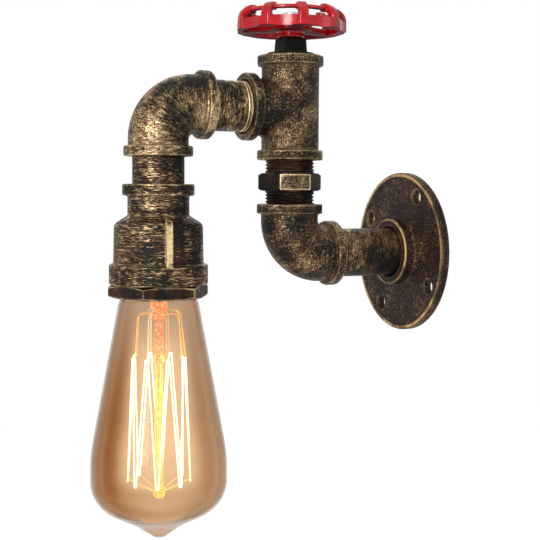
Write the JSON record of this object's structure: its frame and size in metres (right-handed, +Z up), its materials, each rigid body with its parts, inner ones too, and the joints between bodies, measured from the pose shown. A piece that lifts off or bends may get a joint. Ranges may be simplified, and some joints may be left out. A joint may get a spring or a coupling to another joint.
{
  "type": "pipe wall light",
  "caption": "Wall light of threaded pipe fittings on a round flange, with a red handwheel and a hanging pear-shaped filament bulb.",
  "frame": {"origin": "centre of the wall flange's back face, on the wall", "axes": "+Y into the wall, the back face's outward normal; +Z up; the arm reaches out along -Y"},
  "size_m": [0.09, 0.1862, 0.281],
  "materials": {
    "cast_bronze": "dark bronze, dry-brushed gold",
    "flange_bronze": "dark brown-black bronze with gold edges",
    "pipe_bronze": "brushed antique gold over black",
    "plug_black": "matte black",
    "wheel_red": "glossy red enamel",
    "zinc_steel": "zinc-plated",
    "ceramic": "glazed ceramic",
    "brass": "bright brass",
    "lead_brown": "insulated lead, brown",
    "lead_blue": "insulated lead, blue",
    "cap_metal": "thin brass cap",
    "insulator_black": "black glass insulator",
    "solder": "tinned contact",
    "amber_glass": "amber tinted clear glass",
    "stem_glass": "warm clear glass",
    "wire_metal": "fine drawn wire",
    "filament": "glowing wire"
  },
  "bodies": {
    "fixture": {"wall_flange": "flange_bronze", "lower_nipple": "pipe_bronze", "lower_elbow": "cast_bronze", "hex_nipple": "cast_bronze", "tee": "cast_bronze", "square_head_plug": "plug_black", "wheel_screw": "zinc_steel", "wheel_washer": "zinc_steel", "upper_nipple": "pipe_bronze", "upper_elbow": "cast_bronze", "reducer_nipple": "pipe_bronze", "reducer_coupling": "cast_bronze", "hex_bushing": "cast_bronze", "lampholder_body": "ceramic", "lampholder_shell": "brass", "lampholder_contact": "brass", "lampholder_terminals": "brass", "terminal_screws": "zinc_steel", "live_wire": "lead_brown", "neutral_wire": "lead_blue"},
    "wheel": {"handwheel": "wheel_red"},
    "bulb_carrier": {"bulb_contact": "solder"},
    "bulb": {"bulb_cap": "cap_metal", "bulb_insulator": "insulator_black", "bulb_glass": "amber_glass", "bulb_stem": "stem_glass", "upper_supports": "wire_metal", "lower_supports": "wire_metal", "lead_in_wires": "wire_metal", "filament": "filament"}
  },
  "joints": [
    {"name": "wheel_spin", "type": "hinge", "parent": "fixture", "child": "wheel", "pos_m": [0, -0.0748, 0.12], "axis": [0, 0, 1], "continuous": true},
    {"name": "bulb_travel", "type": "slide", "parent": "fixture", "child": "bulb_carrier", "axis": [0, 0, -1], "range_m": [0, 0.01819]},
    {"name": "bulb_turn", "type": "hinge", "parent": "bulb_carrier", "child": "bulb", "pos_m": [0, -0.1503, 0], "axis": [0, 0, -1], "range_deg": [0, 1800]}
  ],
  "couplings": [
    {"joint": "bulb_travel", "follows": "bulb_turn", "m_per_rad": 0.00057757}
  ]
}
